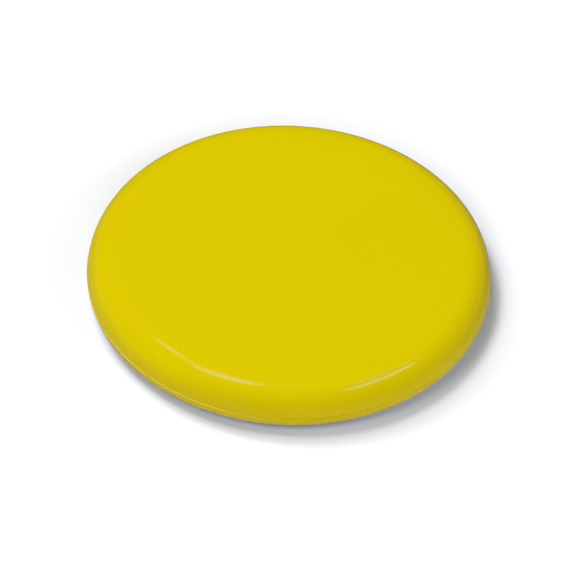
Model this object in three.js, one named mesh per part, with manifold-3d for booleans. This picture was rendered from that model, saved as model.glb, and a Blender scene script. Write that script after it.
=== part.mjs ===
// A low, round, handle-less curling stone for floors and rinks: a two-part moulded plastic body
// that holds a steel ballast plate and runs on three captive rolling balls.
// Millimetres, +Z up. The origin is on the running surface, under the centre of the stone.
import * as THREE from 'three';
import { mergeVertices } from 'three/addons/utils/BufferGeometryUtils.js';
import Module from 'manifold-3d';

const wasm = await Module();
wasm.setup();

// ---------------------------------------------------------------- driving dimensions
const STONE_R = 140; // outside radius, measured at the seam between the two shells
const TOP_Z = 34; // flat top face above the running surface
const LIFT = 2.5; // gap under the body, made by the balls
const SEAM_Z = 13.7; // height of the seam, where the body is widest
const SEAM_GAP = 0.3; // open line between the two shells
const SHOULDER_R = 19.5; // radius of the rounded shoulder
const CROWN_DEG = 6; // slope at which the crown of the top runs into the shoulder
const RIM_IN = 8.4; // how far the lower rim curls in under the seam
const WALL = 3; // general wall thickness of both shells

const TONGUE_IN = 133.9; // tongue of the base that locates the top shell
const TONGUE_OUT = 136.8;
const TONGUE_Z = 17.2;
const LAND_IN = 133.4; // land inside the top shell that presses on the gasket
const LAND_Z = 19.6;

const POST_R = 120; // pitch radius of the six screws that join the shells
const POST_ANGLES = [30, 90, 150, 210, 270, 330];
const SPLIT_Z = 15; // where a post of the base meets a boss of the top shell
const SHELF_Z = 8.5; // shoulder in a counterbore that a screw head bears on

const CASTER_PITCH = 75; // pitch radius of the three ball casters
const CASTER_ANGLES = [90, 210, 330];
const BALL_R = 8;
const CUP_R = 8.4; // spherical seat around the ball
const HOUSING_R = 12.7;
const FLANGE_R = 19.2;
const FLANGE_SCREW = 16; // flange screws, from the caster's axis

const BALLAST_R = 104;
const BALLAST_Z = [8, 17];
const BALLAST_PITCH = 75; // pitch radius of the three ballast screws
const BALLAST_ANGLES = [30, 150, 270];

const SEG = 60; // facets round the body

// ---------------------------------------------------------------- helpers
const rad = THREE.MathUtils.degToRad;

// A closed mesh whose shared vertices are merged, ready for a boolean.
function bare(geometry) {
  const g = geometry.clone();
  for (const name of Object.keys(g.attributes)) if (name !== 'position') g.deleteAttribute(name);
  return mergeVertices(g, 1e-4);
}

function toSolid(geometry) {
  const g = bare(geometry);
  return new wasm.Manifold(
    new wasm.Mesh({
      numProp: 3,
      vertProperties: new Float32Array(g.attributes.position.array),
      triVerts: new Uint32Array(g.index.array),
    }),
  );
}

function toGeometry(solid) {
  const m = solid.getMesh();
  const g = new THREE.BufferGeometry();
  g.setAttribute('position', new THREE.BufferAttribute(new Float32Array(m.vertProperties), 3));
  g.setIndex(new THREE.BufferAttribute(new Uint32Array(m.triVerts), 1));
  g.computeVertexNormals();
  return g;
}

// Revolves [radius, height] pairs round +Z. The list runs anticlockwise in the r-z plane.
function revolve(pairs, segments) {
  const points = pairs.map(([r, z]) => new THREE.Vector2(r, z));
  if (pairs[0][0] > 0) points.push(points[0].clone());
  return new THREE.LatheGeometry(points, segments).rotateX(Math.PI / 2);
}

// An upright cylinder from z0 to z1 at (x, y); r1 is the radius at z1.
function peg(x, y, z0, z1, r0, segments = 24, r1 = r0) {
  return new THREE.CylinderGeometry(r1, r0, z1 - z0, segments)
    .rotateX(Math.PI / 2)
    .translate(x, y, (z0 + z1) / 2);
}

const polar = (radius, degrees) => [radius * Math.cos(rad(degrees)), radius * Math.sin(rad(degrees))];

// Points of an arc in the r-z plane, from one angle to another, both included.
function arc(cr, cz, ar, az, from, to, steps) {
  const out = [];
  for (let i = 0; i <= steps; i++) {
    const t = rad(from + ((to - from) * i) / steps);
    out.push([cr + ar * Math.cos(t), cz + az * Math.sin(t)]);
  }
  return out;
}

// A rib standing along a radius, from r0 to r1 and z0 to z1.
function rib(degrees, r0, r1, z0, z1, thickness) {
  return new THREE.BoxGeometry(r1 - r0, thickness, z1 - z0)
    .translate((r0 + r1) / 2, 0, (z0 + z1) / 2)
    .rotateZ(rad(degrees));
}

function join(base, adds, cuts) {
  let s = toSolid(base);
  for (const g of adds) s = s.add(toSolid(g));
  for (const g of cuts) s = s.subtract(toSolid(g));
  return toGeometry(s);
}

// ---------------------------------------------------------------- materials
const plastic = (color, roughness) => new THREE.MeshStandardMaterial({ color, roughness, metalness: 0 });
const metal = (color, roughness) => new THREE.MeshStandardMaterial({ color, roughness, metalness: 1 });
const YELLOW = plastic(0xdcc900, 0.22);
const DARK = plastic(0x2b2c2e, 0.5);
const RING = plastic(0x3a3b3d, 0.45);
const FOAM = plastic(0x3c3d40, 0.95);
const SILICONE = plastic(0x55575a, 0.7);
const ZINC = metal(0xb9bcc0, 0.42);
const CHROME = metal(0xd8dadd, 0.12);

const stone = new THREE.Group();
const make = (name, geometry, material, parent = stone) => {
  const mesh = new THREE.Mesh(geometry, material);
  mesh.name = name;
  parent.add(mesh);
  return mesh;
};

// ---------------------------------------------------------------- top shell
// Flat top, gentle crown, round shoulder, and a skirt that ends at the seam.
{
  const cr = STONE_R - SHOULDER_R;
  const skirt = SEAM_Z + SEAM_GAP / 2;
  const tipR = cr + SHOULDER_R * Math.sin(rad(CROWN_DEG)); // where crown and shoulder meet
  const tipZ = SEAM_Z + SHOULDER_R * Math.cos(rad(CROWN_DEG));
  const crownR = (TOP_Z - tipZ) / (1 - Math.cos(rad(CROWN_DEG))); // meets the flat top and the shoulder smoothly
  const crownIn = tipR - crownR * Math.sin(rad(CROWN_DEG));
  const crownZ = TOP_Z - crownR;
  const ceiling = TOP_Z - WALL;
  const innerR = SHOULDER_R - WALL;
  const landArc = Math.asin((LAND_IN - cr) / innerR); // from vertical
  const profile = [
    [0, ceiling],
    [cr - 2, ceiling - 0.7],
    ...arc(cr, SEAM_Z, innerR, innerR, 90, 90 - THREE.MathUtils.radToDeg(landArc), 3),
    [LAND_IN, LAND_Z],
    [TONGUE_OUT + 0.4, LAND_Z],
    [TONGUE_OUT + 0.4, skirt],
    [STONE_R - 0.35, skirt],
    [STONE_R, skirt + 0.35],
    ...arc(cr, SEAM_Z, SHOULDER_R, SHOULDER_R, 6, 90 - CROWN_DEG, 7),
    ...arc(crownIn, crownZ, crownR, crownR, 90 - CROWN_DEG / 2, 90, 1),
    [0, TOP_Z],
  ];
  const bosses = POST_ANGLES.map((a) => peg(...polar(POST_R, a), SPLIT_Z + 0.3, 31, 6, 12));
  const ribs = POST_ANGLES.map((a) => rib(a, 51, POST_R - 3, 24, ceiling + 0.6, 2));
  const ring = toGeometry(
    toSolid(peg(0, 0, 20.6, ceiling + 0.6, 52.5, 32)).subtract(toSolid(peg(0, 0, 20, ceiling + 2, 50, 32))),
  );
  const pilots = POST_ANGLES.map((a) => peg(...polar(POST_R, a), SPLIT_Z, 25, 2.05, 8));
  make('top_shell', join(revolve(profile, SEG), [...bosses, ...ribs, ring], pilots), YELLOW);
}

// ---------------------------------------------------------------- base shell
// Rim that curls in under the seam, flat underside, posts, caster pockets and ballast bosses.
{
  const rimTop = SEAM_Z - SEAM_GAP / 2;
  const floor = LIFT + WALL + 0.5;
  const profile = [
    [0, LIFT + 0.6],
    [28, LIFT + 0.6],
    [28.6, LIFT],
    [104.5, LIFT],
    [105, LIFT + 0.9],
    [107, LIFT + 0.9],
    [107.5, LIFT],
    ...arc(STONE_R - RIM_IN, SEAM_Z, RIM_IN, SEAM_Z - LIFT, -90, -5, 6),
    [STONE_R - 0.35, rimTop],
    [TONGUE_OUT, rimTop],
    [TONGUE_OUT, TONGUE_Z - 0.6],
    [TONGUE_OUT - 0.6, TONGUE_Z],
    [TONGUE_IN, TONGUE_Z],
    [TONGUE_IN, 9.5],
    [130.5, floor],
    [0, floor],
  ];
  const adds = [],
    cuts = [];
  for (const a of POST_ANGLES) {
    const [x, y] = polar(POST_R, a);
    adds.push(peg(x, y, floor - 1, SPLIT_Z, 6.6, 14));
    cuts.push(peg(x, y, LIFT - 1, SHELF_Z, 4.6, 14), peg(x, y, SHELF_Z - 1, SPLIT_Z + 1, 2.15, 8));
    adds.push(rib(a + 30, 108.5, 132.5, floor - 1, 9.5, 2));
  }
  for (const a of CASTER_ANGLES) {
    const [x, y] = polar(CASTER_PITCH, a);
    adds.push(peg(x, y, floor - 1, 7.6, 20.6, 24));
    cuts.push(peg(x, y, LIFT - 1, 5, FLANGE_R + 0.5, 24), peg(x, y, 4, 9, HOUSING_R + 0.5, 24));
    for (const side of [-1, 1]) {
      const [dx, dy] = polar(FLANGE_SCREW * side, a + 90);
      adds.push(peg(x + dx, y + dy, floor - 1, 12.5, 3.2, 10));
      cuts.push(peg(x + dx, y + dy, 4, 11.4, 1.4, 8));
    }
  }
  for (const a of BALLAST_ANGLES) {
    const [x, y] = polar(BALLAST_PITCH, a);
    adds.push(peg(x, y, floor - 1, BALLAST_Z[0] - 0.3, 9, 14), peg(x, y, floor - 1, 16.6, 5.5, 14));
    cuts.push(peg(x, y, 7.5, 18, 2.25, 8));
  }
  make('base_shell', join(revolve(profile, SEG), adds, cuts), YELLOW);
}

// ---------------------------------------------------------------- gasket in the seam
make(
  'seam_gasket',
  revolve(
    [
      [TONGUE_IN, TONGUE_Z + 0.3],
      [136.5, TONGUE_Z + 0.3],
      [136.5, LAND_Z - 0.3],
      [TONGUE_IN, LAND_Z - 0.3],
    ],
    SEG,
  ),
  SILICONE,
);

// ---------------------------------------------------------------- ballast and what holds it
{
  const [z0, z1] = BALLAST_Z;
  const disc = revolve([[0, z0], [BALLAST_R - 0.6, z0], [BALLAST_R, z0 + 0.6], [BALLAST_R, z1 - 0.6], [BALLAST_R - 0.6, z1], [0, z1]], 48);
  const cuts = [
    ...CASTER_ANGLES.map((a) => peg(...polar(CASTER_PITCH, a), z0 - 1, z1 + 1, 21, 24)),
    ...BALLAST_ANGLES.map((a) => peg(...polar(BALLAST_PITCH, a), z0 - 1, z1 + 1, 6.1, 14)),
  ];
  make('ballast_plate', join(disc, [], cuts), ZINC);
  make(
    'damping_pad',
    revolve([[42, z1 + 0.3], [60, z1 + 0.3], [60, z1 + 3.3], [42, z1 + 3.3]], 32),
    FOAM,
  );
}

// A pan-head screw standing on its tip, with its head's bearing face at z 0 and its shank going to -length.
function panScrew(headR, headH, shankR, length) {
  const body = revolve(
    [
      [0, -length],
      [shankR * 0.45, -length],
      [shankR, -length + 1.6],
      [shankR, 0],
      [headR, 0],
      [headR, headH * 0.45],
      [headR * 0.86, headH * 0.82],
      [headR * 0.55, headH],
      [0, headH],
    ],
    10,
  );
  const slot = (turn) =>
    new THREE.BoxGeometry(headR * 1.05, headR * 0.26, headH)
      .translate(0, 0, headH)
      .rotateZ(turn);
  return join(body, [], [slot(0), slot(Math.PI / 2)]);
}

// A flat-head screw with its head's flat face at z 0 and its shank going to -length.
function flatScrew(headR, headH, shankR, length) {
  const body = revolve(
    [
      [0, -length],
      [shankR * 0.45, -length],
      [shankR, -length + 1],
      [shankR, -headH],
      [headR, -0.25],
      [headR, 0],
      [0, 0],
    ],
    8,
  );
  const slot = (turn) =>
    new THREE.BoxGeometry(headR * 1.1, headR * 0.3, 1.2).rotateZ(turn);
  return join(body, [], [slot(0), slot(Math.PI / 2)]);
}

{
  const shape = panScrew(4.4, 2.8, 1.9, 8.8);
  BALLAST_ANGLES.forEach((a, i) => {
    const [x, y] = polar(BALLAST_PITCH, a);
    const washer = make(
      `ballast_washer_${i + 1}`,
      revolve([[2.4, 0], [9, 0], [9, 1], [2.4, 1]], 16),
      ZINC,
    );
    washer.position.set(x, y, BALLAST_Z[1] + 0.3);
    const screw = make(`ballast_screw_${i + 1}`, shape, ZINC);
    screw.position.set(x, y, BALLAST_Z[1] + 1.6);
    screw.rotation.z = rad(a + 20);
  });
}

// ---------------------------------------------------------------- screws that join the shells
{
  const shape = panScrew(3.8, 2.6, 1.7, 15.5);
  POST_ANGLES.forEach((a, i) => {
    const screw = make(`shell_screw_${i + 1}`, shape, ZINC);
    screw.position.set(...polar(POST_R, a), SHELF_Z - 0.3);
    screw.rotation.set(Math.PI, 0, rad(a + 12 * i)); // head down
  });
}

// ---------------------------------------------------------------- ball casters
// Each is a flanged cup let into the underside, a steel ball, a ring that keeps the ball in,
// and two countersunk screws.
{
  const cz = BALL_R;
  const sink = FLANGE_SCREW;
  const housingBody = revolve(
    [
      [11.3, 2.7],
      [FLANGE_R - 0.4, 2.7],
      [FLANGE_R, 3.1],
      [FLANGE_R, 4.7],
      [HOUSING_R, 4.7],
      [HOUSING_R, 16.4],
      [10.6, 18.8],
      [0, 18.8],
      ...arc(0, cz, CUP_R, CUP_R, 90, 0, 5),
      [CUP_R, 4.5],
      [11.3, 4.5],
    ],
    24,
  );
  const housing = join(
    housingBody,
    [],
    [-1, 1].flatMap((s) => [peg(0, sink * s, 2, 4.2, 3.3, 12, 1.5), peg(0, sink * s, 4, 6, 1.5, 8)]),
  );
  const ball = new THREE.SphereGeometry(BALL_R, 16, 10).rotateX(Math.PI / 2);
  const ring = revolve([[6.7, 2.8], [10.9, 2.8], [10.9, 4.2], [7.45, 4.2]], 24);
  const screw = flatScrew(2.35, 1.15, 1.05, 8.2);

  CASTER_ANGLES.forEach((a, i) => {
    const caster = new THREE.Group();
    caster.position.set(...polar(CASTER_PITCH, a), 0);
    caster.rotation.z = rad(a);
    stone.add(caster);
    make(`caster_housing_${i + 1}`, housing, DARK, caster);
    make(`caster_ball_${i + 1}`, ball, CHROME, caster).position.z = cz;
    make(`caster_ring_${i + 1}`, ring, RING, caster);
    [-1, 1].forEach((s, k) => {
      const m = make(`caster_screw_${2 * i + k + 1}`, screw, ZINC, caster);
      m.position.set(0, sink * s, 2.85);
      m.rotation.set(Math.PI, 0, rad(25 + 40 * k));
    });
  });
}

export default stone;
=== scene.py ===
# Looks for the floor curling stone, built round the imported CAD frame. Metres, +Z up.
import math

import bmesh
import bpy
from mathutils import Matrix, Vector


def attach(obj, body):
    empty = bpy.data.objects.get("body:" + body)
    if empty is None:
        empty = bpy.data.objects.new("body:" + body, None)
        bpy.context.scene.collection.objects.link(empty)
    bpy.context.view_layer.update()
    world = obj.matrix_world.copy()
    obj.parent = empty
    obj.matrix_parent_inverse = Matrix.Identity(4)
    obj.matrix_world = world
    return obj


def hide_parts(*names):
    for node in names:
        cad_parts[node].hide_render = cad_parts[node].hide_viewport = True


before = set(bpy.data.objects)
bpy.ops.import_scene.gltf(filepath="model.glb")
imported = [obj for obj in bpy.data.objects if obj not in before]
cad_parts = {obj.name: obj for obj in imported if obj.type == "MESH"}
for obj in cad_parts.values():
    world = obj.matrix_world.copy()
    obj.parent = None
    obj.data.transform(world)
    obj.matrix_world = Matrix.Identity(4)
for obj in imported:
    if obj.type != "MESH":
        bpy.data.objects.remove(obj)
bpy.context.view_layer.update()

MM = 0.001
scene = bpy.context.scene

# ------------------------------------------------------------------ dimensions, in mm, as in the CAD
R = 140.0
TOP = 34.0
LIFT = 2.5
SEAM = 13.7
GAP = 0.3
SHOULDER = 19.5
CROWN = math.radians(6)
WALL = 3.0
TONGUE_IN, TONGUE_OUT, TONGUE_Z = 133.9, 136.8, 17.2
LAND_IN, LAND_Z = 133.4, 19.6
POSTS = [30, 90, 150, 210, 270, 330]
POST_R = 120.0
SPLIT = 15.0
SHELF = 8.5
CASTERS = [90, 210, 330]
PITCH = 75.0
BALL = 8.0
CUP = 8.4
HOUSING = 12.7
FLANGE = 19.2
SINK = 16.0
BALLAST_R, BALLAST_LOW, BALLAST_HIGH = 104.0, 8.0, 17.0
BALLAST_AT = [30, 150, 270]
SEG = 256


# ------------------------------------------------------------------ mesh helpers
def polar(r, degrees):
    return r * math.cos(math.radians(degrees)), r * math.sin(math.radians(degrees))


def arc(cr, cz, ar, az, start, stop, steps):
    """Points of an arc in the r-z plane, in degrees, both ends included."""
    out = []
    for i in range(steps + 1):
        t = math.radians(start + (stop - start) * i / steps)
        out.append((cr + ar * math.cos(t), cz + az * math.sin(t)))
    return out


def rounded(points, radii, steps=5):
    """A closed r-z outline with each corner rounded by its own radius."""
    out = []
    n = len(points)
    for i, (p, rad) in enumerate(zip(points, radii)):
        if rad <= 0:
            out.append(p)
            continue
        a, c = Vector(points[i - 1]), Vector(points[(i + 1) % n])
        b = Vector(p)
        u, v = (a - b).normalized(), (c - b).normalized()
        half = u.angle(v) / 2
        cut = min(rad / math.tan(half), 0.49 * (a - b).length, 0.49 * (c - b).length)
        r = cut * math.tan(half)
        centre = b + (u + v).normalized() * (r / math.sin(half))
        s, e = b + u * cut - centre, b + v * cut - centre
        turn = s.angle_signed(e)
        for k in range(steps + 1):
            t = -turn * k / steps
            out.append(
                (
                    centre.x + s.x * math.cos(t) - s.y * math.sin(t),
                    centre.y + s.x * math.sin(t) + s.y * math.cos(t),
                )
            )
    return out


def mesh_object(name, bm):
    bmesh.ops.recalc_face_normals(bm, faces=bm.faces[:])
    me = bpy.data.meshes.new(name)
    bm.to_mesh(me)
    bm.free()
    ob = bpy.data.objects.new(name, me)
    scene.collection.objects.link(ob)
    return ob


def lathe(name, profile, seg=SEG, at=(0.0, 0.0), turn=0.0):
    """Revolves r-z pairs (mm) round an upright axis at (x, y) mm. The outline closes on itself or on the axis."""
    bm = bmesh.new()
    rings = []
    x, y = at
    for r, z in profile:
        if r < 1e-6:
            rings.append([bm.verts.new((x * MM, y * MM, z * MM))])
        else:
            ring = []
            for i in range(seg):
                t = turn + 2 * math.pi * i / seg
                ring.append(bm.verts.new(((x + r * math.cos(t)) * MM, (y + r * math.sin(t)) * MM, z * MM)))
            rings.append(ring)
    pairs = list(zip(rings, rings[1:]))
    if len(rings[0]) > 1 and len(rings[-1]) > 1:
        pairs.append((rings[-1], rings[0]))
    for a, b in pairs:
        for i in range(seg):
            j = (i + 1) % seg
            if len(a) == 1 and len(b) == 1:
                continue
            if len(a) == 1:
                bm.faces.new((a[0], b[i], b[j]))
            elif len(b) == 1:
                bm.faces.new((a[i], a[j], b[0]))
            else:
                bm.faces.new((a[i], a[j], b[j], b[i]))
    return mesh_object(name, bm)


def peg(name, x, y, z0, z1, r0, seg=48, r1=None, flare0=0.0, flare1=0.0, steps=5):
    """An upright pin. A flare spreads its foot (flare0) or head (flare1) in a quarter round, for fillets and rounded mouths."""
    r1 = r0 if r1 is None else r1
    prof = [(0, z0)]
    if flare0 > 0:
        prof += [
            (r0 + flare0 - flare0 * math.sin(math.pi / 2 * k / steps), z0 + flare0 - flare0 * math.cos(math.pi / 2 * k / steps))
            for k in range(steps + 1)
        ]
    else:
        prof.append((r0, z0))
    if flare1 > 0:
        prof += [
            (r1 + flare1 - flare1 * math.cos(math.pi / 2 * k / steps), z1 - flare1 + flare1 * math.sin(math.pi / 2 * k / steps))
            for k in range(steps + 1)
        ]
    else:
        prof.append((r1, z1))
    prof.append((0, z1))
    return lathe(name, prof, seg, (x, y))


def bar(name, degrees, r0, r1, z0, z1, width, at=(0.0, 0.0), draft=0.0):
    """A rib along a radius, a little thinner at z1 by the draft."""
    bm = bmesh.new()
    c, s = math.cos(math.radians(degrees)), math.sin(math.radians(degrees))
    rows = []
    for z, w in ((z0, width), (z1, width - draft)):
        row = []
        for u, v in ((r0, -w / 2), (r1, -w / 2), (r1, w / 2), (r0, w / 2)):
            row.append(bm.verts.new(((at[0] + u * c - v * s) * MM, (at[1] + u * s + v * c) * MM, z * MM)))
        rows.append(row)
    bm.faces.new(rows[0])
    bm.faces.new(rows[1])
    for i in range(4):
        j = (i + 1) % 4
        bm.faces.new((rows[0][i], rows[0][j], rows[1][j], rows[1][i]))
    return mesh_object(name, bm)


def join_boolean(ob, tools, how):
    """Joins or cuts a list of closed tools, and removes them."""
    for tool in tools:
        mod = ob.modifiers.new("b", "BOOLEAN")
        mod.operation, mod.object, mod.solver = how, tool, "MANIFOLD"
    bpy.context.view_layer.update()
    dg = bpy.context.evaluated_depsgraph_get()
    new = bpy.data.meshes.new_from_object(ob.evaluated_get(dg))
    ob.modifiers.clear()
    old, ob.data = ob.data, new
    bpy.data.meshes.remove(old)
    for tool in tools:
        me = tool.data
        bpy.data.objects.remove(tool)
        bpy.data.meshes.remove(me)
    return ob


def piece(ob, body, node, material, angle=30.0, weighted=True):
    """Shades a finished mesh, gives it its material and hangs it on its body in place of its CAD node."""
    me = ob.data
    me.name = ob.name
    me.shade_smooth()
    me.set_sharp_from_angle(angle=math.radians(angle))
    me.materials.clear()
    me.materials.append(material)
    if weighted:
        mod = ob.modifiers.new("normals", "WEIGHTED_NORMAL")
        mod.keep_sharp = True
        mod.weight = 90
    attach(ob, body)
    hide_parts(node)
    return ob


# ------------------------------------------------------------------ materials
def material(name):
    m = bpy.data.materials.new(name)
    m.use_nodes = True
    nt = m.node_tree
    bsdf = nt.nodes["Principled BSDF"]
    return m, nt, bsdf


def node(nt, kind, **values):
    n = nt.nodes.new(kind)
    for k, v in values.items():
        if k in n.inputs:
            n.inputs[k].default_value = v
        else:
            setattr(n, k, v)
    return n


def coords(nt):
    return nt.nodes.new("ShaderNodeTexCoord").outputs["Object"]


def noise(nt, vec, scale, detail=2.0, rough=0.5, distortion=0.0):
    n = nt.nodes.new("ShaderNodeTexNoise")
    n.inputs["Scale"].default_value = scale
    n.inputs["Detail"].default_value = detail
    n.inputs["Roughness"].default_value = rough
    n.inputs["Distortion"].default_value = distortion
    nt.links.new(vec, n.inputs["Vector"])
    return n.outputs["Fac"]


def ramp(nt, fac, stops):
    r = nt.nodes.new("ShaderNodeValToRGB")
    els = r.color_ramp.elements
    els[0].position, els[0].color = stops[0][0], stops[0][1]
    els[1].position, els[1].color = stops[-1][0], stops[-1][1]
    for pos, col in stops[1:-1]:
        e = els.new(pos)
        e.color = col
    nt.links.new(fac, r.inputs["Fac"])
    return r.outputs["Color"]


def remap(nt, fac, a, b, c, d):
    m = nt.nodes.new("ShaderNodeMapRange")
    for k, v in zip(("From Min", "From Max", "To Min", "To Max"), (a, b, c, d)):
        m.inputs[k].default_value = v
    nt.links.new(fac, m.inputs["Value"])
    return m.outputs["Result"]


def mul(nt, a, b, op="MULTIPLY"):
    m = nt.nodes.new("ShaderNodeMath")
    m.operation = op
    for i, v in enumerate((a, b)):
        if isinstance(v, (int, float)):
            m.inputs[i].default_value = v
        else:
            nt.links.new(v, m.inputs[i])
    return m.outputs[0]


def stretch(nt, vec, scale, rotation=(0, 0, 0)):
    m = nt.nodes.new("ShaderNodeMapping")
    m.inputs["Scale"].default_value = scale
    m.inputs["Rotation"].default_value = rotation
    nt.links.new(vec, m.inputs["Vector"])
    return m.outputs["Vector"]


def bump(nt, bsdf, height, strength, distance):
    b = nt.nodes.new("ShaderNodeBump")
    b.inputs["Strength"].default_value = strength
    b.inputs["Distance"].default_value = distance
    nt.links.new(height, b.inputs["Height"])
    nt.links.new(b.outputs["Normal"], bsdf.inputs["Normal"])


def scratches(nt, vec, scale=90.0, width=0.012, turns=((0, 0, 0.4), (0, 0, 1.9))):
    """Thin, sparse hairlines, as values near 1 on a line and 0 elsewhere."""
    total = None
    for k, turn in enumerate(turns):
        v = stretch(nt, vec, (scale, scale * 0.06, scale * 0.3), turn)
        w = nt.nodes.new("ShaderNodeTexVoronoi")
        w.feature = "DISTANCE_TO_EDGE"
        w.inputs["Scale"].default_value = 1.0
        w.inputs["Randomness"].default_value = 1.0
        nt.links.new(v, w.inputs["Vector"])
        line = remap(nt, w.outputs["Distance"], 0.0, width, 1.0, 0.0)
        patch = remap(nt, noise(nt, stretch(nt, vec, (1, 1, 1), turn), 31.0 + 9 * k, 2.0), 0.52, 0.62, 0.0, 1.0)
        line = mul(nt, line, patch)
        total = line if total is None else mul(nt, total, line, "MAXIMUM")
    return total


# Glossy yellow moulded plastic. The hue is painted a touch deeper and more orange down the shoulder: a painted shade
# tint standing in for the warmer tint of the shaded, floor-lit rim.
def yellow_plastic():
    m, nt, b = material("yellow_gloss_plastic")
    vec = coords(nt)
    sep = nt.nodes.new("ShaderNodeSeparateXYZ")
    nt.links.new(vec, sep.inputs[0])
    height = remap(nt, sep.outputs["Z"], 0.014, 0.0338, 0.0, 1.0)
    cloud = noise(nt, vec, 14.0, 3.0, 0.55)
    speck = noise(nt, vec, 900.0, 1.0, 0.5)
    tone = mul(nt, mul(nt, cloud, 0.8), mul(nt, speck, 0.2), "ADD")
    # painted shade tint: the lower shoulder gets the deeper, more orange yellow
    rim_shade_tint = ramp(nt, tone, [(0.35, (*YELLOW_RIM_SHADE_TINT_LO, 1)), (0.65, (*YELLOW_RIM_SHADE_TINT_HI, 1))])
    top = ramp(nt, tone, [(0.35, (*YELLOW_TOP_LO, 1)), (0.65, (*YELLOW_TOP_HI, 1))])
    mix = nt.nodes.new("ShaderNodeMix")
    mix.data_type = "RGBA"
    nt.links.new(height, mix.inputs["Factor"])
    nt.links.new(rim_shade_tint, mix.inputs["A"])
    nt.links.new(top, mix.inputs["B"])
    # painted highlight: the seam's lip is painted a little paler, mottled, most on the front left and on the right,
    # where the lip catches the light
    flat = nt.nodes.new("ShaderNodeCombineXYZ")
    nt.links.new(sep.outputs["X"], flat.inputs["X"])
    nt.links.new(sep.outputs["Y"], flat.inputs["Y"])
    reach = nt.nodes.new("ShaderNodeVectorMath")
    reach.operation = "LENGTH"
    nt.links.new(flat.outputs[0], reach.inputs[0])

    def facing(compass):
        dot = nt.nodes.new("ShaderNodeVectorMath")
        dot.operation = "DOT_PRODUCT"
        nt.links.new(flat.outputs[0], dot.inputs[0])
        dot.inputs[1].default_value = (math.cos(math.radians(compass)) / 0.14, math.sin(math.radians(compass)) / 0.14, 0)
        return dot.outputs["Value"]

    on_lip = mul(nt, remap(nt, reach.outputs["Value"], 0.1391, 0.1394, 0.0, 1.0), remap(nt, sep.outputs["Z"], 0.01315, 0.01335, 0.0, 1.0))
    on_lip = mul(nt, on_lip, remap(nt, sep.outputs["Z"], 0.01369, 0.01375, 1.0, 0.0))
    # where on the lip the painted highlight shows: towards the front left and the right
    painted_highlight_sides = mul(nt, remap(nt, facing(236), 0.80, 0.98, 0.20, 0.95), remap(nt, facing(348), 0.80, 0.97, 0.20, 0.95), "MAXIMUM")
    painted_highlight_fac = mul(nt, painted_highlight_sides, remap(nt, noise(nt, vec, 120.0, 4.0, 0.7), 0.30, 0.55, 0.55, 1.0))
    pale = nt.nodes.new("ShaderNodeMix")
    pale.data_type = "RGBA"
    nt.links.new(mul(nt, on_lip, painted_highlight_fac), pale.inputs["Factor"])
    nt.links.new(mix.outputs["Result"], pale.inputs["A"])
    # the painted highlight's pale colour
    pale.inputs["B"].default_value = (0.73, 0.63, 0.08, 1)
    nt.links.new(pale.outputs["Result"], b.inputs["Base Color"])
    hair = scratches(nt, vec, 60.0, 0.010)
    rough = mul(nt, remap(nt, noise(nt, vec, 38.0, 4.0, 0.6), 0.3, 0.7, ROUGH - 0.015, ROUGH + 0.02), mul(nt, hair, 0.10), "ADD")
    nt.links.new(rough, b.inputs["Roughness"])
    b.inputs["IOR"].default_value = 1.42
    peel = noise(nt, vec, 260.0, 2.0, 0.45)
    lift = mul(nt, peel, mul(nt, hair, -0.25), "ADD")
    bump(nt, b, lift, 0.05, 0.0002)
    return m


def dark_plastic(name, base, rough):
    """Moulded acetal with a fine spark-eroded grain."""
    m, nt, b = material(name)
    vec = coords(nt)
    n = noise(nt, vec, 60.0, 3.0)
    lo = tuple(c * 0.82 for c in base)
    hi = tuple(min(1, c * 1.25) for c in base)
    nt.links.new(ramp(nt, n, [(0.35, (*lo, 1)), (0.65, (*hi, 1))]), b.inputs["Base Color"])
    nt.links.new(remap(nt, noise(nt, vec, 240.0, 3.0), 0.3, 0.7, rough - 0.06, rough + 0.08), b.inputs["Roughness"])
    b.inputs["IOR"].default_value = 1.48
    grain = mul(nt, noise(nt, vec, 2600.0, 2.0), mul(nt, noise(nt, vec, 900.0, 2.0), 0.6), "ADD")
    bump(nt, b, grain, 0.35, 0.00006)
    return m


def soft_rubber(name, base, cell, rough=0.85):
    m, nt, b = material(name)
    vec = coords(nt)
    v = nt.nodes.new("ShaderNodeTexVoronoi")
    v.inputs["Scale"].default_value = cell
    nt.links.new(vec, v.inputs["Vector"])
    n = noise(nt, vec, cell * 0.3, 4.0)
    lo = tuple(c * 0.75 for c in base)
    hi = tuple(min(1, c * 1.2) for c in base)
    nt.links.new(ramp(nt, n, [(0.3, (*lo, 1)), (0.7, (*hi, 1))]), b.inputs["Base Color"])
    nt.links.new(remap(nt, n, 0.3, 0.7, rough - 0.06, rough + 0.06), b.inputs["Roughness"])
    b.inputs["IOR"].default_value = 1.5
    bump(nt, b, mul(nt, v.outputs["Distance"], mul(nt, n, 0.5), "ADD"), 0.5, 0.0003)
    return m


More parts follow.
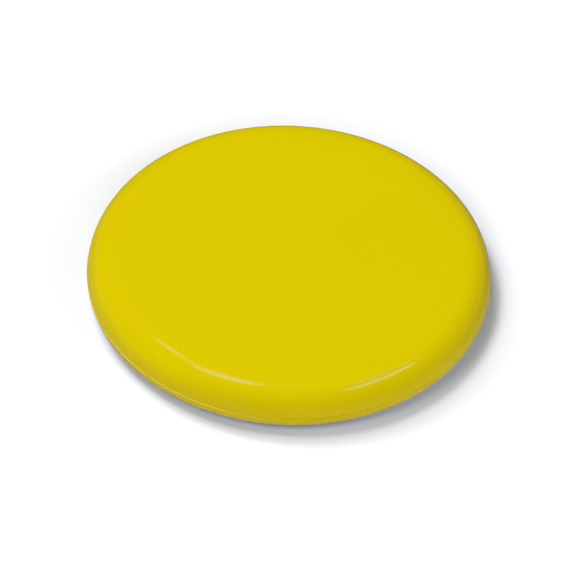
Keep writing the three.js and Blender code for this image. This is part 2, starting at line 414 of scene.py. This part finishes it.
def zinc_steel(name, base, rough, grain_scale=(1, 1, 1)):
    """Zinc plate: a faint spangle, a drawn grain and small stains."""
    m, nt, b = material(name)
    vec = coords(nt)
    b.inputs["Metallic"].default_value = 1.0
    cells = nt.nodes.new("ShaderNodeTexVoronoi")
    cells.inputs["Scale"].default_value = 190.0
    nt.links.new(vec, cells.inputs["Vector"])
    spangle = nt.nodes.new("ShaderNodeSeparateColor")
    nt.links.new(cells.outputs["Color"], spangle.inputs[0])
    stain = noise(nt, vec, 30.0, 4.0, 0.6)
    mixv = mul(nt, mul(nt, spangle.outputs[0], 0.35), mul(nt, stain, 0.65), "ADD")
    lo = tuple(c * 0.8 for c in base)
    hi = tuple(min(1, c * 1.15) for c in base)
    nt.links.new(ramp(nt, mixv, [(0.3, (*lo, 1)), (0.7, (*hi, 1))]), b.inputs["Base Color"])
    grain = noise(nt, stretch(nt, vec, grain_scale), 500.0, 3.0, 0.6)
    nt.links.new(remap(nt, mul(nt, grain, spangle.outputs[0], "ADD"), 0.3, 1.5, rough - 0.08, rough + 0.12), b.inputs["Roughness"])
    bump(nt, b, grain, 0.15, 0.00005)
    return m


def polished_ball():
    m, nt, b = material("bearing_ball_steel")
    vec = coords(nt)
    b.inputs["Metallic"].default_value = 1.0
    n = noise(nt, vec, 90.0, 4.0)
    nt.links.new(ramp(nt, n, [(0.3, (0.60, 0.61, 0.63, 1)), (0.7, (0.74, 0.75, 0.77, 1))]), b.inputs["Base Color"])
    hair = scratches(nt, vec, 400.0, 0.02, ((0.3, 0.2, 0.4), (1.1, 0.5, 1.9), (0.2, 1.4, 2.8)))
    nt.links.new(mul(nt, remap(nt, n, 0.3, 0.7, 0.07, 0.13), mul(nt, hair, 0.25), "ADD"), b.inputs["Roughness"])
    bump(nt, b, hair, 0.08, 0.00002)
    return m


ROUGH = 0.13
YELLOW_TOP_LO = (0.618, 0.496, 0.0004)
YELLOW_TOP_HI = (0.632, 0.508, 0.0005)
# painted shade tint: the rim's deeper, more orange yellow for the lower shoulder
YELLOW_RIM_SHADE_TINT_LO = (0.620, 0.474, 0.0003)
YELLOW_RIM_SHADE_TINT_HI = (0.638, 0.488, 0.0004)
POWER = 1.055
GLOSS_A, GLOSS_A2, GLOSS_B = 3.8, 4.0, 5.0
GLOSS_TINT = (0.28, 0.42, 1.0)
SKY_TOP = 0.02

M_SHELL = yellow_plastic()
M_CASTER = dark_plastic("caster_acetal", (0.020, 0.021, 0.023), 0.42)
M_RING = dark_plastic("retainer_acetal", (0.040, 0.042, 0.045), 0.34)
M_GASKET = soft_rubber("gasket_silicone", (0.085, 0.09, 0.095), 700.0, 0.6)
M_FOAM = soft_rubber("closed_cell_foam", (0.045, 0.046, 0.050), 420.0, 0.92)
M_PLATE = zinc_steel("ballast_zinc_plate", (0.46, 0.47, 0.49), 0.42, (1, 0.05, 1))
M_SCREW = zinc_steel("screw_zinc_plate", (0.55, 0.56, 0.58), 0.30)
M_BALL = polished_ball()

# ------------------------------------------------------------------ top shell
cr = R - SHOULDER
LEDGE = 0.5  # the base's lip stands this far outside the top's skirt
tip_r = cr + (SHOULDER - LEDGE) * math.sin(CROWN)
tip_z = SEAM + SHOULDER * math.cos(CROWN)
crown_r = (TOP - tip_z) / (1 - math.cos(CROWN))
crown_in = tip_r - crown_r * math.sin(CROWN)
crown_z = TOP - crown_r
skirt = SEAM + GAP / 2
ceiling = TOP - WALL
inner = SHOULDER - WALL
land = 90 - math.degrees(math.asin((LAND_IN - cr) / inner))

outer = []
outer += arc(R - LEDGE - 0.07, SEAM + 0.05, 0.07, 0.07, -90, 0, 4)
outer += arc(cr, SEAM, SHOULDER - LEDGE, SHOULDER, 1.0, 84, 56)
outer += arc(crown_in, crown_z, crown_r, crown_r, 84.3, 90, 14)
outer += [(r, TOP) for r in (96, 84, 70, 56, 42, 28, 14)] + [(0, TOP)]
inside = [(0, ceiling)] + [(r, ceiling) for r in (20, 45, 70, 95)] + [(cr - 14, ceiling), (cr - 2, ceiling - 0.02)]
inside += arc(cr, SEAM + 0.8, inner, inner - 0.2, 89, land, 16)
inside += [
    (LAND_IN, LAND_Z + 0.15),
    (LAND_IN + 0.15, LAND_Z),
    (TONGUE_OUT + 0.2, LAND_Z),
    (TONGUE_OUT + 0.4, LAND_Z - 0.2),
    (TONGUE_OUT + 0.4, SEAM + 0.13),
    (TONGUE_OUT + 0.55, SEAM - 0.02),
]
top = lathe("top_shell_moulding", inside + outer)
tools = [peg("t", *polar(POST_R, a), SPLIT + 0.3, 31.0, 6.0, 48, 6.4, flare0=0, flare1=0) for a in POSTS]
tools += [bar("t", a, 51, POST_R - 3, 24, ceiling + 0.6, 1.7, draft=-0.3) for a in POSTS]
ring = lathe("t", rounded([(50, 20.6), (52.5, 20.6), (52.6, ceiling + 0.6), (49.9, ceiling + 0.6)], [0.5, 0.5, 0, 0]), 128)
tools.append(ring)
join_boolean(top, tools, "UNION")
tools = [peg("t", *polar(POST_R, a), SPLIT, 25.0, 2.05, 32) for a in POSTS]
tools += [peg("t", *polar(POST_R, a), SPLIT + 0.2, SPLIT + 0.9, 2.7, 32, 2.05) for a in POSTS]
join_boolean(top, tools, "DIFFERENCE")
piece(top, "root", "top_shell", M_SHELL, 32)

# ------------------------------------------------------------------ base shell
rim_top = SEAM - GAP / 2
floor_z = LIFT + WALL + 0.5
under = [(0, LIFT + 0.6), (14, LIFT + 0.6), (27.6, LIFT + 0.6)]
under += [(28.0, LIFT + 0.5), (28.25, LIFT + 0.3), (28.45, LIFT + 0.1), (28.9, LIFT)]
under += [(40, LIFT), (60, LIFT), (90, LIFT), (104.2, LIFT)]
under += [(104.5, LIFT + 0.08), (104.75, LIFT + 0.35), (105.0, LIFT + 0.75), (105.3, LIFT + 0.9), (106.7, LIFT + 0.9)]
under += [(107.0, LIFT + 0.75), (107.25, LIFT + 0.35), (107.5, LIFT + 0.08), (107.8, LIFT)]
under += [(115, LIFT), (124, LIFT)]
under += arc(R - 8.4, SEAM - 0.45, 8.4, SEAM - 0.45 - LIFT, -90, 0, 40)
# the lip: a small round, then a gently domed slope running in under the top's skirt
under += [(R - 0.015, SEAM - 0.37), (R - 0.055, SEAM - 0.30), (R - 0.19, SEAM - 0.222), (R - 0.33, SEAM - 0.152)]
under += [(R - 0.49, SEAM - 0.088), (R - 0.66, SEAM - 0.040), (R - 0.8, SEAM - 0.03)]
upper = [
    (TONGUE_OUT + 0.2, SEAM - 0.03),
    (TONGUE_OUT, SEAM + 0.17),
    (TONGUE_OUT, TONGUE_Z - 0.6),
    (TONGUE_OUT - 0.18, TONGUE_Z - 0.18),
    (TONGUE_OUT - 0.6, TONGUE_Z),
    (TONGUE_IN + 0.3, TONGUE_Z),
    (TONGUE_IN, TONGUE_Z - 0.3),
]
upper += [(TONGUE_IN, 10.4)] + arc(130.4, 9.5, 3.5, 3.5, 0, -90, 10)[1:]
upper += [(112, floor_z), (90, floor_z), (60, floor_z), (30, floor_z), (0, floor_z)]
base = lathe("base_shell_moulding", under + upper)
adds, cuts = [], []
for a in POSTS:
    x, y = polar(POST_R, a)
    adds.append(peg("t", x, y, floor_z - 0.8, SPLIT, 6.6, 48))
    adds.append(bar("t", a + 30, 108.5, 132.0, floor_z - 0.8, 9.3, 2.0, draft=0.4))
    cuts.append(peg("t", x, y, LIFT - 0.4, SHELF, 4.6, 48, flare0=0.8))
    cuts.append(peg("t", x, y, SHELF - 0.6, SPLIT + 1, 2.15, 32))
for a in CASTERS:
    x, y = polar(PITCH, a)
    adds.append(peg("t", x, y, floor_z - 0.8, 7.6, 20.6, 96))
    cuts.append(peg("t", x, y, LIFT - 0.35, 5.0, FLANGE + 0.4, 96, flare0=0.7))
    cuts.append(peg("t", x, y, 4.4, 9.0, HOUSING + 0.4, 96))
    for side in (-1, 1):
        dx, dy = polar(SINK * side, a + 90)
        adds.append(peg("t", x + dx, y + dy, floor_z - 0.8, 12.5, 3.2, 32))
        cuts.append(peg("t", x + dx, y + dy, 4.6, 11.4, 1.4, 24))
for a in BALLAST_AT:
    x, y = polar(PITCH, a)
    adds.append(peg("t", x, y, floor_z - 0.8, BALLAST_LOW - 0.3, 9.0, 48))
    adds.append(peg("t", x, y, floor_z - 0.8, 16.6, 5.5, 48))
    cuts.append(peg("t", x, y, 7.5, 18.0, 2.25, 32))
# the gate mark in the middle of the underside, and six ejector marks inside
cuts.append(peg("t", 0, 0, LIFT, LIFT + 0.85, 1.6, 32, 1.4))
for a in POSTS:
    cuts.append(peg("t", *polar(46, a + 30), floor_z - 0.15, floor_z + 1, 3.0, 32))
join_boolean(base, adds, "UNION")
join_boolean(base, cuts, "DIFFERENCE")
piece(base, "root", "base_shell", M_SHELL, 32)

# ------------------------------------------------------------------ gasket, ballast, pad
gasket = lathe(
    "seam_gasket_ring",
    rounded(
        [(TONGUE_IN, TONGUE_Z + 0.3), (136.5, TONGUE_Z + 0.3), (136.5, LAND_Z - 0.3), (TONGUE_IN, LAND_Z - 0.3)],
        [0.7] * 4,
        6,
    ),
)
piece(gasket, "root", "seam_gasket", M_GASKET, 40)

b0, b1 = BALLAST_LOW, BALLAST_HIGH
plate = lathe(
    "ballast_plate_blank",
    [(0, b0), (52, b0)]
    + arc(BALLAST_R - 0.6, b0 + 0.6, 0.6, 0.6, -90, 0, 6)
    + arc(BALLAST_R - 0.6, b1 - 0.6, 0.6, 0.6, 0, 90, 6)
    + [(52, b1), (0, b1)],
    192,
)
cuts = []
for a in CASTERS:
    x, y = polar(PITCH, a)
    cuts.append(peg("t", x, y, b0 - 0.4, b1 + 0.4, 21.0, 96, flare0=0.8, flare1=0.8))
for a in BALLAST_AT:
    x, y = polar(PITCH, a)
    cuts.append(peg("t", x, y, b0 - 0.3, b1 + 0.3, 6.1, 48, flare0=0.6, flare1=0.6))
join_boolean(plate, cuts, "DIFFERENCE")
piece(plate, "root", "ballast_plate", M_PLATE, 32)

pad = lathe(
    "damping_pad_foam",
    rounded([(42, b1 + 0.3), (60, b1 + 0.3), (60, b1 + 3.3), (42, b1 + 3.3)], [0.9] * 4, 6),
    160,
)
piece(pad, "root", "damping_pad", M_FOAM, 40)


# ------------------------------------------------------------------ screws
def threaded(name, outline, thread, pitch, depth, seg, recess, at, flip, turn):
    """A screw in its own frame (head's bearing face at z 0), revolved with a helical thread cut into its shank.

    outline is r-z from the tip's axis point up to the head's axis point; thread is (low z, high z, shank radius).
    """
    low, high, shank = thread
    rows = []
    for r, z in outline:
        rows.append((r, z, False))
    cut = max(i for i, (r, z, _) in enumerate(rows) if z <= low + 1e-6)
    steps = int((high - low) / (pitch / 8))
    body = [(shank, low + (high - low) * k / steps, True) for k in range(1, steps)]
    rows = rows[: cut + 1] + body + rows[cut + 1 :]
    bm = bmesh.new()
    rings = []
    for r, z, wound in rows:
        if r < 1e-6:
            rings.append([bm.verts.new((0, 0, z * MM))])
            continue
        ring = []
        for i in range(seg):
            t = 2 * math.pi * i / seg
            rr = r
            if wound:
                phase = (z / pitch - i / seg) % 1.0
                tooth = max(0.0, 1.0 - abs(phase - 0.5) / 0.32)
                fade = min(1.0, (z - low) / pitch, (high - z) / (0.5 * pitch))
                rr = r - depth * (1.0 - tooth) * max(0.0, fade)
            ring.append(bm.verts.new((rr * math.cos(t) * MM, rr * math.sin(t) * MM, z * MM)))
        rings.append(ring)
    for a, b in zip(rings, rings[1:]):
        for i in range(seg):
            j = (i + 1) % seg
            if len(a) == 1:
                bm.faces.new((a[0], b[i], b[j]))
            elif len(b) == 1:
                bm.faces.new((a[i], a[j], b[0]))
            else:
                bm.faces.new((a[i], a[j], b[j], b[i]))
    ob = mesh_object(name, bm)
    # cross recess: two tapering wings and a cone
    top_z, wing, width, rim_shade_tint = recess
    tools = []
    for k in range(2):
        bmw = bmesh.new()
        rws = []
        for z, ln, w in ((top_z - rim_shade_tint, wing * 0.42, width * 0.55), (top_z + 0.3, wing * 1.06, width * 1.05)):
            c, s = math.cos(k * math.pi / 2), math.sin(k * math.pi / 2)
            rws.append(
                [
                    bmw.verts.new(((u * c - v * s) * MM, (u * s + v * c) * MM, z * MM))
                    for u, v in ((-ln, -w), (ln, -w), (ln, w), (-ln, w))
                ]
            )
        bmw.faces.new(rws[0])
        bmw.faces.new(rws[1])
        for i in range(4):
            j = (i + 1) % 4
            bmw.faces.new((rws[0][i], rws[0][j], rws[1][j], rws[1][i]))
        tools.append(mesh_object("t", bmw))
    tools.append(lathe("t", [(0, top_z - rim_shade_tint * 1.15), (width * 0.5, top_z - rim_shade_tint), (width * 1.7, top_z + 0.3), (0, top_z + 0.3)], 24))
    join_boolean(ob, tools, "DIFFERENCE")
    x, y, z = at
    place = Matrix.Translation(Vector((x * MM, y * MM, z * MM))) @ Matrix.Rotation(math.radians(turn), 4, "Z")
    if flip:
        place = place @ Matrix.Rotation(math.pi, 4, "X")
    ob.data.transform(place)
    return ob


def pan_outline(head_r, head_h, shank, length):
    return (
        [(0, -length), (shank * 0.4, -length), (shank * 0.75, -length + 0.9), (shank, -length + 1.6)]
        + [(shank, -0.3), (shank + 0.15, -0.08), (shank + 0.4, 0), (head_r - 0.15, 0), (head_r, 0.15), (head_r, head_h * 0.42)]
        + [
            (head_r * (0.62 + 0.38 * math.cos(t)), head_h * (0.42 + 0.56 * math.sin(t)))
            for t in (math.radians(v) for v in (15, 30, 45, 60, 75))
        ]
        + [(head_r * 0.5, head_h * 0.985), (head_r * 0.25, head_h), (0, head_h)]
    )


def flat_outline(head_r, head_h, shank, length):
    return [
        (0, -length),
        (shank * 0.4, -length),
        (shank, -length + 1.0),
        (shank, -head_h - 0.1),
        (shank + 0.06, -head_h),
        (head_r - 0.04, -0.28),
        (head_r, -0.2),
        (head_r, -0.06),
        (head_r - 0.06, 0),
        (head_r * 0.5, 0),
        (0, 0),
    ]


for i, a in enumerate(BALLAST_AT, 1):
    x, y = polar(PITCH, a)
    washer = lathe(
        f"ballast_washer_plate_{i}",
        rounded([(2.4, b1 + 0.3), (9.0, b1 + 0.3), (9.0, b1 + 1.3), (2.4, b1 + 1.3)], [0.12, 0.12, 0.3, 0.12], 4),
        72,
        (x, y),
    )
    piece(washer, "root", f"ballast_washer_{i}", M_SCREW, 35)
    s = threaded(
        f"ballast_pan_screw_{i}",
        pan_outline(4.4, 2.8, 1.9, 8.8),
        (-7.2, -0.9, 1.9),
        1.6,
        0.42,
        40,
        (2.8, 2.3, 0.5, 1.7),
        (x, y, b1 + 1.6),
        False,
        a + 20,
    )
    piece(s, "root", f"ballast_screw_{i}", M_SCREW, 32, weighted=False)

for i, a in enumerate(POSTS, 1):
    x, y = polar(POST_R, a)
    s = threaded(
        f"shell_pan_screw_{i}",
        pan_outline(3.8, 2.6, 1.7, 15.5),
        (-13.9, -5.5, 1.7),
        1.5,
        0.38,
        40,
        (2.6, 2.0, 0.45, 1.6),
        (x, y, SHELF - 0.3),
        True,
        a + 12 * (i - 1),
    )
    piece(s, "root", f"shell_screw_{i}", M_SCREW, 32, weighted=False)

# ------------------------------------------------------------------ ball casters
for i, a in enumerate(CASTERS, 1):
    x, y = polar(PITCH, a)
    body = [
        (11.3, 2.95), (11.5, 2.75), (11.75, 2.7),
        (FLANGE - 0.55, 2.7), (FLANGE - 0.25, 2.78), (FLANGE - 0.07, 2.95), (FLANGE, 3.2),
        (FLANGE, 4.55), (FLANGE - 0.15, 4.7), (HOUSING + 0.5, 4.7), (HOUSING + 0.15, 4.78), (HOUSING, 5.1),
        (HOUSING, 16.2), (HOUSING - 0.1, 16.6), (HOUSING - 0.4, 16.95), (11.0, 18.45), (10.7, 18.7), (10.3, 18.8), (5, 18.8), (0, 18.8),
    ]
    body += arc(0, BALL, CUP, CUP, 90, 0, 18) + [(CUP, 4.65), (CUP + 0.15, 4.5), (11.15, 4.5), (11.3, 4.35)]
    housing = lathe(f"caster_cup_{i}", body, 96, (x, y))
    cuts = []
    for s in (-1, 1):
        dx, dy = polar(SINK * s, a + 90)
        cuts.append(lathe("t", [(0, 2.2), (3.15, 2.2), (2.75, 2.7), (1.5, 4.2), (0, 4.2)], 48, (x + dx, y + dy)))
        cuts.append(peg("t", x + dx, y + dy, 4.0, 6.0, 1.5, 32))
    join_boolean(housing, cuts, "DIFFERENCE")
    piece(housing, "root", f"caster_housing_{i}", M_CASTER, 32)

    retainer = lathe(
        f"caster_retainer_{i}",
        rounded([(6.7, 2.8), (10.9, 2.8), (10.9, 4.2), (7.45, 4.2)], [0.25, 0.25, 0.12, 0.1], 5),
        96,
        (x, y),
    )
    # three small spanner notches in the face of the ring
    notches = []
    for k in range(3):
        t = a + 30 + 120 * k
        nx, ny = polar(10.0, t)
        notches.append(peg("t", x + nx, y + ny, 2.3, 3.35, 0.7, 24))
    join_boolean(retainer, notches, "DIFFERENCE")
    piece(retainer, "root", f"caster_ring_{i}", M_RING, 32)

    bm = bmesh.new()
    bmesh.ops.create_icosphere(bm, subdivisions=6, radius=BALL * MM)
    bmesh.ops.translate(bm, verts=bm.verts[:], vec=(x * MM, y * MM, BALL * MM))
    ball = mesh_object(f"caster_bearing_ball_{i}", bm)
    piece(ball, f"ball_{i}", f"caster_ball_{i}", M_BALL, 60, weighted=False)

    for k, s in enumerate((-1, 1)):
        dx, dy = polar(SINK * s, a + 90)
        n = 2 * (i - 1) + k + 1
        sc = threaded(
            f"caster_flat_screw_{n}",
            flat_outline(2.35, 1.15, 1.05, 8.2),
            (-7.2, -1.9, 1.05),
            0.9,
            0.24,
            32,
            (0.0, 1.45, 0.3, 0.9),
            (x + dx, y + dy, 2.85),
            True,
            a + 25 + 40 * k,
        )
        piece(sc, "root", f"caster_screw_{n}", M_SCREW, 32, weighted=False)

# ------------------------------------------------------------------ camera
ELEV, ROLL = math.radians(45.073), math.radians(2.748)
DIST = 15 * R * MM
SCALE_PX = 203.496
AIM = Vector((-0.357 * MM, -17.575 * MM, 14.0 * MM))
fwd = Vector((0, math.cos(ELEV), -math.sin(ELEV)))
right0 = Vector((1, 0, 0))
up0 = right0.cross(fwd)
# the picture is turned clockwise, so the camera turns the other way
right = right0 * math.cos(ROLL) + up0 * math.sin(ROLL)
up = up0 * math.cos(ROLL) - right0 * math.sin(ROLL)
cam_data = bpy.data.cameras.new("camera")
cam_data.sensor_fit = "HORIZONTAL"
cam_data.sensor_width = 36.0
cam_data.lens = SCALE_PX * (DIST / (R * MM)) / 576.0 * 36.0
cam_data.clip_start, cam_data.clip_end = 0.05, 50.0
cam = bpy.data.objects.new("camera", cam_data)
scene.collection.objects.link(cam)
pos = AIM - fwd * DIST
rot = Matrix((right, up, -fwd)).transposed()
cam.matrix_world = Matrix.Translation(pos) @ rot.to_4x4()
scene.camera = cam

# ------------------------------------------------------------------ floor and light
bm = bmesh.new()
bmesh.ops.create_grid(bm, x_segments=1, y_segments=1, size=12.0)
floor = mesh_object("floor", bm)
mf, ntf, bf = material("floor_white")
bf.inputs["Roughness"].default_value = 0.9
bf.inputs["Specular IOR Level"].default_value = 0.0
# a white sweep that fades into the backdrop. Near the stone the floor is painted bluer and lower in red and green, in a
# ring: painted colour that cancels the stone's yellow bounce light and shapes the shadow's tone
spot = coords(ntf)


def around(nt, vec, x, y):
    shift = nt.nodes.new("ShaderNodeVectorMath")
    shift.operation = "DISTANCE"
    nt.links.new(vec, shift.inputs[0])
    shift.inputs[1].default_value = (x, y, 0)
    return shift.outputs["Value"]


# painted floor tint: cancels the stone's yellow bounce light and shapes the shadow near the stone
painted_floor_shade_tint = ramp(
    ntf,
    remap(ntf, around(ntf, spot, 0.003, 0.0), 0.13, 0.19, 0.0, 1.0),
    [
        (0.0, (0.635, 0.699, 0.985, 1)),
        (0.133, (0.719, 0.772, 0.985, 1)),
        (0.20, (0.771, 0.813, 0.965, 1)),
        (0.267, (0.806, 0.831, 0.92, 1)),
        (0.333, (0.811, 0.829, 0.89, 1)),
        (0.467, (0.831, 0.842, 0.88, 1)),
        (0.60, (0.846, 0.854, 0.88, 1)),
        (0.80, (0.864, 0.869, 0.885, 1)),
        (1.0, (0.877, 0.880, 0.89, 1)),
    ],
)
ntf.links.new(painted_floor_shade_tint, bf.inputs["Base Color"])
glow = ntf.nodes.new("ShaderNodeEmission")
glow.inputs["Strength"].default_value = 1.05
blend = ntf.nodes.new("ShaderNodeMixShader")
seen_by = ntf.nodes.new("ShaderNodeLightPath")
far = remap(ntf, around(ntf, spot, 0, 0), 0.26, 0.55, 0.0, 1.0)
ntf.links.new(mul(ntf, far, seen_by.outputs["Is Camera Ray"]), blend.inputs["Fac"])
ntf.links.new(bf.outputs["BSDF"], blend.inputs[1])
ntf.links.new(glow.outputs["Emission"], blend.inputs[2])
ntf.links.new(blend.outputs["Shader"], ntf.nodes["Material Output"].inputs["Surface"])
floor.data.materials.append(mf)
floor.visible_glossy = False


def area(name, origin, direction, distance, long_way, size_x, size_y, radiance, glossy, diffuse, shape):
    """A softbox facing a point from a direction, with its long side along long_way."""
    d = Vector(direction).normalized()
    data = bpy.data.lights.new(name, "AREA")
    data.shape = shape
    data.size, data.size_y = size_x, size_y
    share = math.pi / 4 if shape in ("DISK", "ELLIPSE") else 1.0
    data.energy = radiance * math.pi * size_x * size_y * share
    ob = bpy.data.objects.new(name, data)
    scene.collection.objects.link(ob)
    x = Vector(long_way)
    x = (x - d * x.dot(d)).normalized()
    y = d.cross(x)
    ob.matrix_world = Matrix.Translation(Vector(origin) + d * distance) @ Matrix((x, y, d)).transposed().to_4x4()
    if glossy:
        data.color = GLOSS_TINT
    elif hasattr(data, "cycles"):
        data.cycles.use_multiple_importance_sampling = False
    ob.visible_glossy = glossy
    ob.visible_diffuse = diffuse
    ob.visible_camera = False
    return ob


# soft studio light, 4 m away: (compass angle from +X, elevation, width as seen from 2 m, strength)
for az, el, width, power in (
    (115, 65, 0.5, 10.45),
    (160, 65, 0.5, 18.77),
    (130, 55, 0.5, 13.00),
    (145, 45, 0.5, 10.74),
    (225, 50, 0.9, 5.18),
    (0, 20, 0.9, 4.80),
    (270, 30, 0.9, 4.98),
    (315, 30, 0.9, 2.55),
):
    d = Vector((math.cos(math.radians(el)) * math.cos(math.radians(az)), math.cos(math.radians(el)) * math.sin(math.radians(az)), math.sin(math.radians(el))))
    area(f"soft_{az}_{el}", (0, 0, 0.02), d, 4.0, (-d.y, d.x, 0.001), 2 * width, 2 * width, power * POWER, False, True, "ELLIPSE")

# what the gloss mirrors: a round softbox almost overhead with a small one behind it, and a strip on the right
area("gloss_round", (-0.05, -0.115, 0.03), (-0.215, 0.04, 0.975), 2.0, (-0.05, 1, 0), 0.60, 0.62, GLOSS_A, True, False, "ELLIPSE")
area("gloss_small", (-0.08, -0.10, 0.03), (-0.27, 0.38, 0.885), 2.0, (0.15, 0.22, -0.05), 0.52, 0.14, GLOSS_A2, True, False, "ELLIPSE")
area("gloss_strip", (0.06, -0.115, 0.03), (0.545, -0.235, 0.805), 2.0, (0.27, 0.38, -0.07), 1.02, 0.26, GLOSS_B, True, False, "RECTANGLE")
area("gloss_faint", (0.06, -0.115, 0.03), (0.42, 0.02, 0.90), 2.0, (0.12, 0.30, -0.07), 0.8, 0.36, GLOSS_B * 0.14, True, False, "ELLIPSE")

world = bpy.data.worlds.new("studio")
scene.world = world
world.use_nodes = True
nw = world.node_tree
bg = nw.nodes["Background"]
bg.inputs["Color"].default_value = (1, 1, 1, 1)
paths = nw.nodes.new("ShaderNodeLightPath")
geo = nw.nodes.new("ShaderNodeTexCoord")
sepw = nw.nodes.new("ShaderNodeSeparateXYZ")
nw.links.new(geo.outputs["Generated"], sepw.inputs[0])
# the backdrop is white to the camera; a reflection sees it pale near the horizon, with dark flags overhead and in front
def grey(*stops):
    return [(pos, (v, v, v, 1)) for pos, v in stops]


height = remap(nw, sepw.outputs["Z"], -0.5, 0.5, 0.0, 1.0)
flagged = ramp(nw, height, grey((0.0, 0.06), (0.46, 0.06), (0.54, 0.035), (0.64, 0.015), (0.80, 0.008), (1.0, SKY_TOP * 0.5)))
open_side = ramp(nw, height, grey((0.0, 0.24), (0.12, 0.10), (0.30, 0.03), (0.505, 0.03), (0.525, 0.36), (0.57, 0.36), (0.59, 0.03), (0.76, 0.015), (0.85, SKY_TOP), (1.0, SKY_TOP * 0.5)))
sky = nw.nodes.new("ShaderNodeMix")
sky.data_type = "RGBA"
nw.links.new(remap(nw, sepw.outputs["Y"], -0.55, -0.20, 0.0, 1.0), sky.inputs["Factor"])
nw.links.new(flagged, sky.inputs["A"])
nw.links.new(open_side, sky.inputs["B"])
sky = sky.outputs["Result"]
glossy = mul(nw, paths.outputs["Is Glossy Ray"], 1.0)
mirror = mul(nw, sky, glossy)
total = mul(nw, mirror, paths.outputs["Is Camera Ray"], "ADD")
nw.links.new(total, bg.inputs["Strength"])

scene.view_settings.view_transform = "Standard"
scene.view_settings.look = "None"
scene.view_settings.exposure = 0.0
scene.view_settings.gamma = 1.0

bpy.context.view_layer.update()
